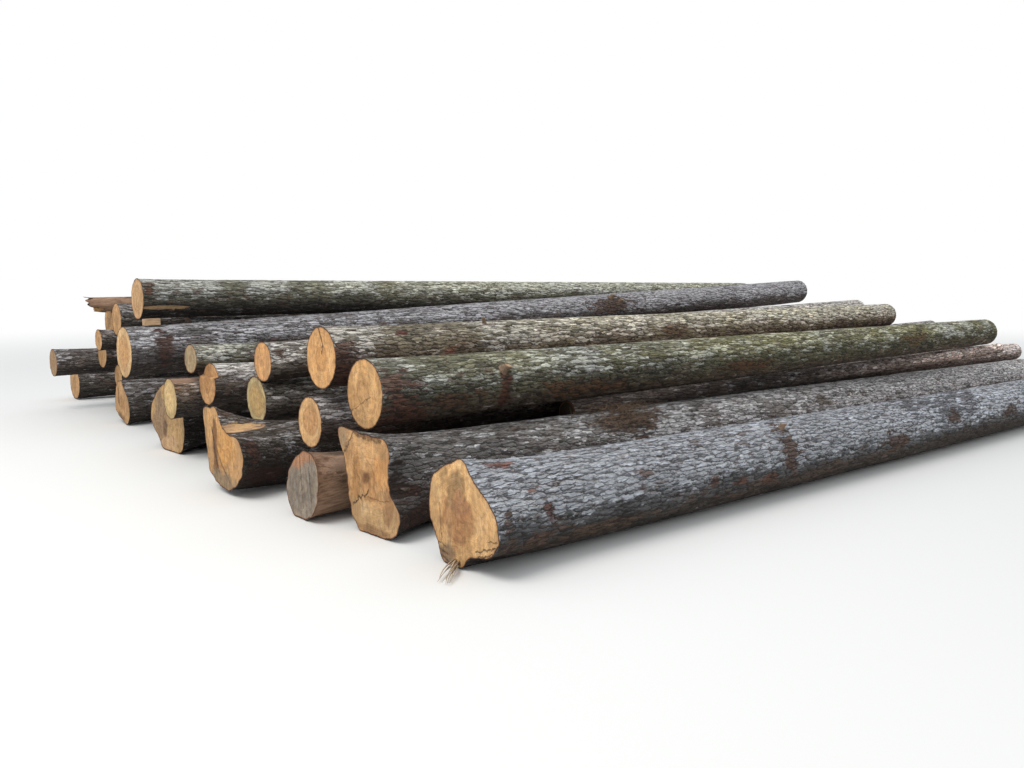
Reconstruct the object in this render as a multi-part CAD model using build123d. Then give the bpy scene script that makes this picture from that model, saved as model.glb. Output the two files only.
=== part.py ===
from build123d import *
import os
from math import cos, pi, radians, sin, sqrt, tan

# A roadside stack of felled spruce logs on level ground. All lengths in millimetres.
# +X runs along the logs from the sawn butts to the tips, +Y across the stack, +Z up from the ground.
# Positions are measured from one corner of the landing; the origin is moved under the stack at the end.

# Clearance left between two logs that rest on each other
SEAT = 0.3
# Length over which a butt swells out of the stem, and how much thicker a plain butt is
SWELL_LENGTH = 800
SWELL = 1.04
# Where the swelling bends, as a share of that length, and how much of it is left there
SWELL_BEND = 0.35
SWELL_LEFT = 0.35
# Flats round a log that shows, and round one buried in the heap
SIDES = 36
HIDDEN_SIDES = 24
# A stem is not quite round: share of the radius by which it swings in and out, twice round the stem
OVAL = 0.02
# Distance between the stations at which a log is lowered on to the ones below it
STEP = 20
# A section can touch the log below with all that lies lower than this share of its depth above the axis
UNDERSIDE = 0.4

# Logs in the order they were laid: name, butt (along, across, diameter), tip (along, across, diameter),
# bow at mid length (sideways, upward) and lean of the saw cut in degrees (upward, across)
LOGS = [
    ("front_log", (2960, 3950, 574), (13100, 4050, 470), (-25, 0), (1, 2)),
    ("second_log", (2950, 4870, 580), (14100, 5400, 420), (30, 0), (1, -2)),
    ("peeled_log", (2800, 5460, 414), (12700, 6050, 310), (0, 0), (2, 2)),
    ("under_log_1", (3800, 6030, 406), (12900, 6330, 290), (0, 0), (0, 0)),
    ("split_butt_log", (2700, 6490, 490), (13200, 6960, 420), (15, 0), (0, 2)),
    ("under_log_2", (3800, 7130, 476), (13000, 7250, 240), (0, 0), (0, 0)),
    ("under_log_3", (3800, 7650, 520), (13000, 7960, 374), (0, 0), (0, 0)),
    ("twisted_butt_log", (3000, 8470, 640), (13600, 8530, 440), (0, 0), (2, -3)),
    ("under_log_4", (3800, 9360, 292), (13400, 9080, 210), (0, 0), (0, 0)),
    ("back_butt_log", (3200, 10350, 480), (13800, 9870, 340), (0, 0), (0, 2)),
    ("under_log_5", (3800, 11500, 482), (13200, 10780, 346), (0, 0), (0, 0)),
    ("under_log_6", (3800, 12010, 520), (13200, 11290, 374), (0, 0), (0, 0)),
    ("left_ground_log", (3400, 12810, 408), (13600, 11550, 300), (0, 0), (0, 0)),
    ("under_log_7", (5200, 5460, 202), (12600, 5120, 140), (0, 0), (0, 0)),
    ("pink_log", (3110, 5920, 362), (14150, 5550, 250), (10, 0), (1, 2)),
    ("under_log_8", (3800, 6210, 258), (12600, 6700, 186), (0, 0), (0, 0)),
    ("ring_log", (3170, 6920, 374), (13200, 7100, 260), (0, 0), (-2, 2)),
    ("stepped_log", (3050, 7580, 346), (13000, 7360, 260), (0, 0), (0, -2)),
    ("strip_log", (2850, 7930, 352), (13100, 8380, 260), (0, 0), (0, 3)),
    ("under_log_9", (3800, 9300, 440), (13300, 9600, 316), (0, 0), (0, 0)),
    ("stub_log", (3460, 11230, 270), (13100, 9640, 200), (0, 0), (0, 0)),
    ("thin_dark_log", (3340, 11400, 312), (12000, 10780, 240), (0, 0), (1, 0)),
    ("under_log_10", (4050, 10180, 444), (12600, 9620, 320), (0, 0), (0, 0)),
    ("under_log_11", (3800, 12100, 236), (12600, 11780, 170), (0, 0), (0, 0)),
    ("left_big_log", (2900, 11770, 316), (12600, 11220, 280), (0, 0), (0, 0)),
    ("under_log_12", (3800, 5540, 346), (12600, 5740, 250), (0, 0), (0, 0)),
    ("under_log_13", (3800, 7280, 306), (12600, 6840, 220), (0, 0), (0, 0)),
    ("mossy_log", (3090, 5140, 452), (12200, 5150, 334), (15, 0), (1, 2)),
    ("half_hidden_log", (3170, 6770, 306), (12000, 6800, 300), (0, 0), (1, 0)),
    ("knot_log", (3000, 7810, 250), (12300, 8330, 200), (0, 0), (1, -2)),
    ("under_log_16", (3800, 8850, 320), (13300, 9400, 206), (0, 0), (0, 0)),
    ("long_upper_log", (3020, 9620, 510), (14800, 9540, 410), (15, 0), (0, 2)),
    ("small_dark_log", (3150, 10850, 238), (12600, 11300, 200), (0, 0), (0, 0)),
    ("under_log_14", (3800, 6170, 230), (12400, 5930, 166), (0, 0), (0, 0)),
    ("cracked_log", (3160, 5830, 436), (11100, 5890, 290), (-15, 0), (1, 2)),
    ("under_log_15", (3800, 9910, 200), (12800, 10060, 144), (0, 0), (0, 0)),
    ("thin_upper_log_1", (3290, 10670, 352), (13000, 10200, 260), (0, 0), (1, 2)),
    ("thin_upper_log_2", (3450, 11440, 334), (13000, 10440, 240), (0, 0), (-1, 0)),
    ("wedge_block", (3220, 9570, 92), (3380, 9570, 92), (0, 0), (0, 0)),
    ("top_log", (3250, 9840, 412), (13800, 10000, 340), (0, 0), (1, 2)),
    ("broken_log", (3150, 11340, 188), (9400, 10300, 150), (0, 0), (0, 0)),
]

# Reach of the flared butts round the stem's axis, every 10 degrees from +Y by way of the top
BUTTS = {
    "front_log": (
        325, 330, 335, 350, 340, 325, 320, 315, 325, 330, 295, 265, 250, 250, 260, 280, 300, 325,
        335, 350, 335, 315, 275, 245, 230, 225, 250, 285, 285, 300, 325, 315, 295, 290, 295, 315,
    ),
    "second_log": (
        260, 275, 300, 360, 480, 440, 385, 345, 325, 320, 320, 340, 355, 330, 275, 235, 220, 210,
        220, 250, 340, 375, 390, 375, 350, 325, 310, 305, 310, 325, 305, 300, 280, 265, 260, 255,
    ),
    "split_butt_log": (
        330, 350, 390, 445, 525, 500, 445, 415, 300, 250, 240, 235, 245, 275, 325, 360, 375, 380,
        360, 345, 305, 285, 260, 245, 235, 225, 215, 210, 210, 215, 220, 240, 260, 285, 320, 320,
    ),
    "twisted_butt_log": (
        370, 365, 340, 320, 310, 300, 300, 300, 310, 325, 330, 345, 355, 355, 360, 350, 355, 355,
        360, 375, 400, 415, 435, 410, 365, 335, 320, 315, 320, 320, 300, 285, 295, 315, 340, 370,
    ),
    "back_butt_log": (
        250, 240, 235, 235, 240, 240, 245, 235, 230, 235, 225, 200, 190, 185, 195, 210, 225, 245,
        270, 285, 300, 305, 305, 295, 275, 240, 215, 200, 195, 195, 200, 210, 225, 250, 255, 245,
    ),
    "peeled_log": (
        245, 235, 235, 225, 220, 220, 225, 225, 235, 255, 260, 270, 280, 275, 270, 255, 245, 235,
        225, 225, 225, 220, 220, 225, 215, 215, 215, 210, 215, 225, 245, 245, 250, 250, 250, 255,
    ),
}

# Height of the step left in a felled face, and how deep the saw set it back
STEP_CUT_RISE = 60
STEP_CUT_DEPTH = 35


class Log:
    """One stem: straight-sided lengths between stations, each station a ring of flats round the axis."""

    def __init__(self, name, butt, tip, bow, lean):
        self.name = name
        self.start, self.side_start, butt_diameter = butt
        self.end, self.side_end, tip_diameter = tip
        self.bow = bow
        self.lean = lean
        self.base = butt_diameter / 2
        self.tip = tip_diameter / 2
        self.hidden = name.startswith("under_log")
        self.block = name.endswith("block")
        self.sides = 4 if self.block else HIDDEN_SIDES if self.hidden else SIDES
        self.height = 0.0
        self.slope = 0.0
        self.stations = [self.start, self.end]
        if not self.hidden and not self.block:
            middle = (self.start + SWELL_LENGTH + self.end) / 2
            bends = [self.start + SWELL_LENGTH, middle]
            if name in BUTTS:
                bends.insert(0, self.start + SWELL_BEND * SWELL_LENGTH)
            self.stations[1:1] = bends
        self.rings = {x: self.ring(x) for x in self.stations}
        self.reach = {x: max(sqrt(y * y + z * z) for y, z in self.local(x)) for x in self.stations}
        self.outlines = {}

    def swell(self, x):
        """Share of the butt's swelling that is left at a station."""
        along = (x - self.start) / SWELL_LENGTH
        if along >= 1:
            return 0.0
        if along <= SWELL_BEND:
            return 1.0 - (1.0 - SWELL_LEFT) * along / SWELL_BEND
        return SWELL_LEFT * (1.0 - along) / (1.0 - SWELL_BEND)

    def local(self, x):
        """Ring of points about the axis."""
        t = (x - self.start) / (self.end - self.start)
        radius = self.base + (self.tip - self.base) * t
        left = 0.0 if self.hidden or self.block else self.swell(x)
        phase = (self.start + self.side_start) % 360
        points = []
        for i in range(self.sides):
            turn = 2 * pi * (i + 0.5 * self.block) / self.sides
            reach = radius
            if not self.hidden and not self.block:
                reach *= 1 - OVAL / 2 + OVAL / 2 * cos(2 * turn + radians(phase))
            if self.name in BUTTS:
                butt = BUTTS[self.name]
                place = i * len(butt) / self.sides
                low = int(place)
                wide = butt[low] + (butt[(low + 1) % len(butt)] - butt[low]) * (place - low)
                reach += (wide - reach) * left
            else:
                reach *= 1 + (SWELL - 1) * left
            points.append((reach * cos(turn), reach * sin(turn)))
        return points

    def offset(self, x):
        """Sideways place and upward bow of the axis at a station."""
        t = (x - self.start) / (self.end - self.start)
        arch = 4 * t * (1 - t)
        return self.side_start + (self.side_end - self.side_start) * t + self.bow[0] * arch, self.bow[1] * arch

    def flared(self, x):
        """True where the length that starts here is not flat-sided, so its quarters are split into triangles."""
        return self.name in BUTTS and self.swell(x) > 0

    def ring(self, x):
        side, lift = self.offset(x)
        return [(side + y, lift + z) for y, z in self.local(x)]

    def outline(self, x):
        """Section anywhere along the log, its heights counted from the straight axis."""
        if x not in self.outlines:
            for a, b in zip(self.stations, self.stations[1:]):
                if a <= x <= b:
                    w = (x - a) / (b - a)
                    low, high = self.rings[a], self.rings[b]
                    pairs = list(zip(low, high))
                    if self.flared(a):
                        # The diagonal of each split quarter runs to the next corner of the far ring
                        pairs = [pair for p, q, r in zip(low, high, high[1:] + high[:1]) for pair in ((p, q), (p, r))]
                    section = [(p[0] + (q[0] - p[0]) * w, p[1] + (q[1] - p[1]) * w) for p, q in pairs]
                    side, lift = [(m + (n - m) * w) for m, n in zip(self.offset(a), self.offset(b))]
                    self.outlines[x] = (section, side, lift, max(self.reach[a], self.reach[b]))
                    break
        return self.outlines[x]

    def axis(self, x):
        return self.height + self.slope * (x - self.start)

    def rest_on(self, placed):
        """Lower the log until it lies on the ground or on the logs below, at two places."""
        xs = {self.start, self.end, *self.stations}
        first = int(self.start // STEP) + 1
        xs.update(i * STEP for i in range(first, int(self.end // STEP) + 1))
        for other in placed:
            xs.update(x for x in other.stations if self.start < x < self.end)
        points = []
        for x in sorted(xs):
            section, side, lift, reach = self.outline(x)
            need = -min(z for y, z in section)
            for other in placed:
                if other.start <= x <= other.end:
                    other_section, other_side, other_lift, other_reach = other.outline(x)
                    wide = reach + other_reach
                    apart = abs(side - other_side)
                    if apart < wide:
                        top = other.axis(x) + other_lift - lift + sqrt(wide * wide - apart * apart)
                        if top + SEAT > need:
                            need = max(need, other.axis(x) + SEAT + clear_height(section, other_section))
            points.append((x, need))
        a, b = self.base, self.tip
        centre = self.start + (self.end - self.start) * (a * a + 2 * a * b + 3 * b * b) / (4 * (a * a + a * b + b * b))
        hull = []
        for x, z in points:
            while len(hull) > 1 and turn_up(hull[-2], hull[-1], (x, z)):
                hull.pop()
            hull.append((x, z))
        for low, high in zip(hull, hull[1:]):
            if low[0] <= centre <= high[0]:
                self.slope = (high[1] - low[1]) / (high[0] - low[0])
                self.height = low[1] + self.slope * (self.start - low[0])

    def solid(self):
        rings = [[Vector(x, y, self.axis(x) + z) for y, z in self.rings[x]] for x in self.stations]
        # The saw cut leans: every butt corner slides along its own edge on to the leaning plane
        up, across = (tan(radians(a)) for a in self.lean)
        side, lift = self.offset(self.start)
        middle = self.axis(self.start) + lift
        leans = [up * (p.Z - middle) + across * (p.Y - side) for p in rings[0]]
        deepest = -min(leans)
        length = self.stations[1] - self.stations[0]
        moved = []
        for p, q, lean in zip(rings[0], rings[1], leans):
            run = q - p
            moved.append(p + run * ((deepest + lean) / (length - up * run.Z - across * run.Y)))
        rings[0] = moved
        faces = [Face(Wire.make_polygon(rings[0][::-1])), Face(Wire.make_polygon(rings[-1]))]
        for x, low, high in zip(self.stations, rings, rings[1:]):
            for i in range(self.sides):
                j = (i + 1) % self.sides
                if self.flared(x):
                    faces.append(Face(Wire.make_polygon([low[i], low[j], high[j]])))
                    faces.append(Face(Wire.make_polygon([low[i], high[j], high[i]])))
                else:
                    faces.append(Face(Wire.make_polygon([low[i], low[j], high[j], high[i]])))
        return Solid(Shell(faces))


def turn_up(a, b, c):
    """True when the middle one of three points hangs below the line over them."""
    return (b[1] - a[1]) * (c[0] - a[0]) <= (c[1] - a[1]) * (b[0] - a[0])


def boundary(section, y, upper):
    """Height of a section's upper or lower side at one place across it."""
    found = None
    for (y0, z0), (y1, z1) in zip(section, section[1:] + section[:1]):
        if min(y0, y1) <= y <= max(y0, y1) and y0 != y1:
            z = z0 + (z1 - z0) * (y - y0) / (y1 - y0)
            if found is None or (z > found if upper else z < found):
                found = z
    return found


def clear_height(section, below):
    """How far the section must be raised, from axis to axis, to clear the one below it."""
    left = max(min(y for y, z in section), min(y for y, z in below))
    right = min(max(y for y, z in section), max(y for y, z in below))
    need = float("-inf")
    if left >= right:
        return need
    depth = -min(z for y, z in section)
    for y, z in section:
        if left <= y <= right and z < UNDERSIDE * depth:
            need = max(need, boundary(below, y, True) - z)
    for y, z in below:
        if left <= y <= right:
            need = max(need, z - boundary(section, y, False))
    for y in (left, right):
        need = max(need, boundary(below, y, True) - boundary(section, y, False))
    return need


logs = []
for row in LOGS:
    log = Log(*row)
    log.rest_on(logs)
    logs.append(log)

solids = {}
for log in logs:
    body = log.solid()
    if log.name == "stepped_log":
        side, lift = log.offset(log.start)
        spot = Location((log.start, side, log.axis(log.start) + STEP_CUT_RISE))
        wide = 4 * log.base
        step = spot * Box(2 * STEP_CUT_DEPTH, wide, wide, align=(Align.CENTER, Align.CENTER, Align.MIN))
        body = (body - step).solid()
    solids[log.name] = body

# The origin is the middle of the stack's footprint, on the ground
boxes = [body.bounding_box() for body in solids.values()]
middle_x = (min(b.min.X for b in boxes) + max(b.max.X for b in boxes)) / 2
middle_y = (min(b.min.Y for b in boxes) + max(b.max.Y for b in boxes)) / 2
shift = Location((-middle_x, -middle_y, 0))

os.makedirs("parts", exist_ok=True)
for log in logs:
    export_step(shift * solids[log.name], "parts/" + log.name + ".step")
    print(log.name, "axis", round(log.axis(log.start)), "to", round(log.axis(log.end)), "mm")
print("origin", round(middle_x), round(middle_y))
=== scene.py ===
# %% [markdown]
# # A roadside stack of felled logs
# The stack is 40 stems of spruce, 16 of them buried in the heap, and one small wedge block. Their main
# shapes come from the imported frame: each solid gives its rings, and this lesson puts bark, saw cuts,
# growth rings, cracks and splinters on them.

import math

import bpy
import numpy as np
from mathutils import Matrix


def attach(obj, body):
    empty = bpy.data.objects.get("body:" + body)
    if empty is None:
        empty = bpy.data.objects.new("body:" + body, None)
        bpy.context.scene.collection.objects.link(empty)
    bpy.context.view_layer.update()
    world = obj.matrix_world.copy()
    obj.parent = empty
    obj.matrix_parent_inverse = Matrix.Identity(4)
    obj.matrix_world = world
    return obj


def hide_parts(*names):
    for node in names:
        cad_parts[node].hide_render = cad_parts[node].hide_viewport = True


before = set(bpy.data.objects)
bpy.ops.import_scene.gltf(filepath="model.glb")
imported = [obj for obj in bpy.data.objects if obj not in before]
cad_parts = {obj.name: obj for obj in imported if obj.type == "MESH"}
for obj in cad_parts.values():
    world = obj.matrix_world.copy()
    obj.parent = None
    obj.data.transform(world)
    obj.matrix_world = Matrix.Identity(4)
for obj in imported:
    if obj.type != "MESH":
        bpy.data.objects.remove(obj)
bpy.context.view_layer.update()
print("solids:", len(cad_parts))

# %% [markdown]
# ## The camera
# A phone held at eye height, 1.6 m, looks along the stack's front row and slightly down. The stack's
# butts are near its left edge and the stems run away to the right, so the lens has to be as wide as the
# phone's: a focal length of 930 pixels in a picture 1024 pixels wide.

# %% Place the camera
EYE = (-8.750, -8.314, 1.6)
LOOK = math.atan2(0.7638, 0.6455)
DOWN = math.radians(6.685)
FOCAL, PICTURE = 930, 1024
lens = bpy.data.cameras.new("eye")
lens.sensor_width = 36.0
lens.lens = 36.0 * FOCAL / PICTURE
lens.clip_end = 200.0
camera = bpy.data.objects.new("eye", lens)
camera.location = EYE
camera.rotation_euler = (math.pi / 2 - DOWN, 0.0, LOOK - math.pi / 2)
bpy.context.scene.collection.objects.link(camera)
bpy.context.scene.camera = camera
print("lens", round(lens.lens, 1), "mm")

# %% [markdown]
# ## Noise made with whole arrays
# Bark and wood are irregular at every size. Two kinds of noise are enough here: a smooth one for lumps, tones
# and ragged edges, and one of nearest cells for bark plates. Both start from a number that looks random but
# depends only on a cell's place, so every run gives the same logs.


# %% Helpers for numbers and noise
def cell_value(cell, seed):
    """Value 0 to 1 of whole-numbered cells: each coordinate times a prime, mixed, then scrambled by
    shifts."""
    h = np.full(cell.shape[:-1], (seed * 2654435761) & 0xFFFFFFFF, dtype=np.uint32)
    for axis, prime in zip(range(cell.shape[-1]), (73856093, 19349663, 83492791)):
        h ^= (cell[..., axis].astype(np.int64) * prime & 0xFFFFFFFF).astype(np.uint32)
    for shift, factor in ((15, 0x2C1B3C6D), (12, 0x297A2D39)):
        h ^= h >> np.uint32(shift)
        h *= np.uint32(factor)
    return (h ^ (h >> np.uint32(15))) / 4294967295.0


def noise(points, size, seed, octaves=1):
    """Smooth noise from -1 to 1: the values at the eight corners of a cell of that size, mixed along each
    axis."""
    total, weight = 0.0, 0.0
    for octave in range(octaves):
        p = points / (size * 0.5**octave)
        base = np.floor(p)
        f = p - base
        f = f * f * (3 - 2 * f)
        value = 0.0
        for corner in range(8):
            step = np.array([corner & 1, corner >> 1 & 1, corner >> 2 & 1])
            share = np.prod(np.where(step, f, 1 - f), axis=-1)
            value = value + share * cell_value(base + step, seed + octave)
        total = total + (2 * value - 1) * 0.55**octave
        weight += 0.55**octave
    return total / weight


def smooth(low, high, value):
    """0 below low, 1 above high, and an S-shaped rise between them."""
    t = np.clip((value - low) / (high - low), 0, 1)
    return t * t * (3 - 2 * t)


def plates(around, along, turns, seed):
    """Bark plates on a grid of cells, `turns` of them round the stem: distance to the edge between the two
    nearest cell centres, and a random value for the nearest."""
    base = np.stack([np.floor(around), np.floor(along)], axis=-1)
    first = np.full(around.shape, 9.0)
    second = np.full(around.shape, 9.0)
    value = np.zeros(around.shape)
    for i in (-1, 0, 1):
        for j in (-1, 0, 1):
            cell = base + (i, j)
            wrapped = cell.copy()
            wrapped[..., 0] %= turns
            dx = cell[..., 0] + 0.15 + 0.7 * cell_value(wrapped, seed) - around
            dy = cell[..., 1] + 0.15 + 0.7 * cell_value(wrapped, seed + 1) - along
            far = np.hypot(dx, dy)
            nearer = far < first
            second = np.where(nearer, first, np.minimum(second, far))
            value = np.where(nearer, cell_value(wrapped, seed + 2), value)
            first = np.where(nearer, far, first)
    return second - first, value


def colour(red, green, blue):
    """Linear colour of an 8-bit screen colour."""
    v = np.array([red, green, blue]) / 255
    return np.where(v <= 0.04045, v / 12.92, ((v + 0.055) / 1.055) ** 2.4)


print("noise check", round(float(noise(np.array([[0.3, 0.2, 0.1]]), 1.0, 1)[0]), 3))

# %% [markdown]
# ## Reading a stem's rings
# A packed log is a loft of straight lengths between rings of 36 corners (24 in the buried ones). Sorted along
# the stem, its corners fall into those rings again. A ring's corners are then put in order round the stem's
# axis, from the side away from the front row by way of the top, and a Fourier series through them gives the
# smooth outline that the flats stand for.

# %% Rings of a packed log
SWELL = 0.8  # metres of stem that the butt's flare takes
SWELL_SIZE = 1.04
OPEN_CORNERS, BURIED_CORNERS = 36, 24


def in_order(ring, centre):
    """Corners of a ring sorted by their angle round a centre, starting from +Y."""
    angle = np.arctan2(ring[:, 2] - centre[1], ring[:, 1] - centre[0])
    ring = ring[np.argsort(angle)]
    angle = np.sort(angle)
    return np.roll(ring, -int(np.argmin(np.abs(angle))), axis=0)


def rings_of(name):
    """Rings of a log from butt to tip, as (corners, 3) each, all in the same order round the stem. The
    step cuts up the stepped log's butt ring, so that ring is drawn back from the two behind it and made a
    little larger. The lobes of a flared butt would pull its middle aside, so that middle is drawn back
    from the plain rings."""
    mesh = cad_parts[name].data
    points = np.empty(len(mesh.vertices) * 3)
    mesh.vertices.foreach_get("co", points)
    points = np.unique(points.reshape(-1, 3).round(5), axis=0)
    sides = BURIED_CORNERS if name.startswith("under_log") else OPEN_CORNERS
    count = 2 if name == "stepped_log" else len(points) // sides
    rings = list(points[len(points) - count * sides :].reshape(count, sides, 3))
    centres = [r[:, 1:].mean(axis=0) for r in rings]
    places = [r[:, 0].mean() for r in rings]
    if name == "stepped_log":
        rings = [in_order(r, c) for r, c in zip(rings, centres)]
        butt = rings[0] + (rings[0] - rings[1]) * SWELL / (places[1] - places[0])
        middle = butt.mean(axis=0)
        return [middle + (butt - middle) * (1, SWELL_SIZE, SWELL_SIZE), *rings]
    if sides == OPEN_CORNERS:
        plain = len(rings) - 3
        for i in range(plain):
            back = (places[i] - places[plain]) / (places[plain + 1] - places[plain])
            centres[i] = centres[plain] + (centres[plain + 1] - centres[plain]) * back
    return [in_order(r, c) for r, c in zip(rings, centres)]


def outline(ring, corners):
    """The same closed outline with more corners, by padding its Fourier series."""
    series = np.fft.rfft(ring, axis=0)
    return np.fft.irfft(series, n=corners, axis=0) * (corners / len(ring))


for example in ("front_log", "top_log", "under_log_3", "stepped_log"):
    print(example, [round(float(r[:, 0].mean()), 2) for r in rings_of(example)])

# %% [markdown]
# ## The skin of a stem
# A stem could be a cylinder with a displacement modifier, but then the flare of the butt, the saw cut and the
# bark would be three separate problems. Here one grid does it all: one direction runs along the stem, the
# other round it. The stem is a straight blend from ring to ring, the flare is the difference between the sawn
# ring and the stem and fades along the first 0.8 m, and the bark takes a few millimetres away. Rows lie close
# together at the butt, where the camera is, and far apart at the tip.


# %% Grid of a stem
FLARED_RINGS = 5  # rings in the solid of a log with lobes at its butt
FADE = 2.6  # power by which the flare dies away


def rows_between(start, end, near, far):
    """Places along the stem whose spacing grows evenly, as an exponential, from near to far."""
    count = max(int((end - start) / (far - near) * math.log(far / near)), 8)
    growth = math.log(far / near)
    t = np.linspace(0, 1, count)
    return start + (end - start) * np.expm1(growth * t) / math.expm1(growth)


def stem_grid(name, corners, near, far):
    """Points of the stem as (rows, corners, 3), its axis as (rows, 3), and the distance of each row from
    the butt. The plain stem is drawn back to the butt from the two rings behind it, and the difference
    between that and the sawn ring fades along the stem. A lobed butt's second ring holds some of that
    flare already, so it is left out."""
    rings = [outline(r, corners) for r in rings_of(name)]
    butt = rings[0]
    if len(rings) == FLARED_RINGS:
        rings.pop(1)
    places = [r[:, 0].mean() for r in rings]
    swollen = len(rings) > 2
    if swollen:
        back = (places[0] - places[1]) / (places[2] - places[1])
        rings[0] = rings[1] + (rings[2] - rings[1]) * back
    stack = np.stack(rings)
    xs = rows_between(places[0], places[-1], near, far)
    which = np.clip(np.searchsorted(places, xs) - 1, 0, len(places) - 2)
    low = np.array(places)[which]
    high = np.array(places)[which + 1]
    share = ((xs - low) / (high - low))[:, None, None]
    points = stack[which] * (1 - share) + stack[which + 1] * share
    axis = points.mean(axis=1)
    if swollen:
        left = np.clip(1 - (xs - xs[0]) / SWELL, 0, 1) ** FADE
        points = points + (butt - rings[0]) * left[:, None, None]
    return points, axis, xs - xs[0]


print("front log grid", stem_grid("front_log", 180, 0.013, 0.070)[0].shape)

# %% [markdown]
# ## What each log looks like
# The logs differ in tone: the front ones are pale and flaky on top, the ones deep in the stack are dark,
# partly as painted shade, one has lost its bark, one is green with algae. A row holds a log's screen colours
# on top, at the side and underneath, how flaky it is, the colour of its saw cut and of its heartwood, and
# the heart's share of the way out. The darker tone underneath is painted shade. The top tone is partly
# bleached bark and partly painted light. Some logs that lie in the shade of others have lighter tones as
# painted light. A log without a row gets the plain tones.

# %% Tones of the logs
DARK = ((118, 110, 105), (86, 78, 71), (46, 39, 33))
FACE = (186, 145, 99)
HEART = (160, 120, 78)
PLAIN_BARK = (*DARK, 0.3)
PLAIN_END = (FACE, HEART, 0.3)
# cut ends of buried logs, nearly black: painted shade, as they lie in the dark gaps of the stack
SHADED_BURIED_END = ((52, 42, 33), (44, 34, 26), 0.3)
TONES = {
    "front_log": ((110, 112, 118), (102, 104, 108), (66, 58, 50), 1.0, (208, 165, 113), (176, 134, 90), 0.0),
    "second_log": ((118, 114, 111), (98, 91, 88), (48, 39, 33), 0.50, (190, 147, 100), (170, 126, 82), 0.3),
    "peeled_log": ((96, 82, 70), (118, 94, 76), (58, 46, 36), 0.1, (138, 125, 110), (130, 116, 100), 0.3),
    "split_butt_log": ((88, 78, 68), (56, 49, 43), (32, 28, 24), 0.2, (186, 144, 97), (170, 124, 76), 0.35),
    "twisted_butt_log": ((80, 72, 64), (50, 43, 37), (26, 22, 18), 0.15, (178, 144, 98), (166, 130, 86), 0.2),
    "mossy_log": ((134, 133, 113), (94, 92, 77), (98, 82, 64), 0.52, (200, 155, 103), (186, 140, 90), 0.3),
    "cracked_log": ((140, 130, 112), (120, 104, 86), (84, 66, 54), 0.6, (207, 158, 104), (190, 140, 86), 0.3),
    "half_hidden_log": ((152, 144, 132), (162, 150, 137), (84, 71, 60), 0.65, (204, 154, 102), HEART, 0.1),
    "long_upper_log": (
        (126, 121, 122), (104, 98, 98), (60, 50, 45), 0.62,
        (208, 171, 122), (184, 134, 84), 0.62,
    ),
    "top_log": ((132, 131, 116), (94, 92, 80), (44, 40, 35), 0.65, (200, 160, 116), (186, 146, 100), 0.62),
    "knot_log": ((152, 148, 128), (122, 116, 98), (66, 60, 48), 0.6, (168, 146, 112), (146, 122, 88), 0.1),
    "stepped_log": ((172, 162, 150), (122, 109, 98), (60, 50, 42), 0.65, (184, 140, 94), (160, 116, 72), 0.35),
    "strip_log": ((146, 116, 86), (112, 100, 90), (56, 48, 40), 0.45, (186, 164, 112), (212, 178, 126), 0.82),
    "pink_log": ((134, 120, 112), (114, 100, 92), (74, 62, 55), 0.5, (210, 168, 118), (180, 130, 84), 0.56),
    "ring_log": ((154, 145, 132), (140, 128, 115), (68, 58, 50), 0.6, (184, 166, 120), (184, 144, 90), 0.72),
    "left_big_log": ((122, 114, 112), (88, 80, 76), (46, 40, 35), 0.45, (158, 128, 96), HEART, 0.2),
    "under_log_7": ((134, 120, 112), (114, 100, 92), (74, 62, 55), 0.1, *SHADED_BURIED_END),
}
RUST = (98, 68, 55)
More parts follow.
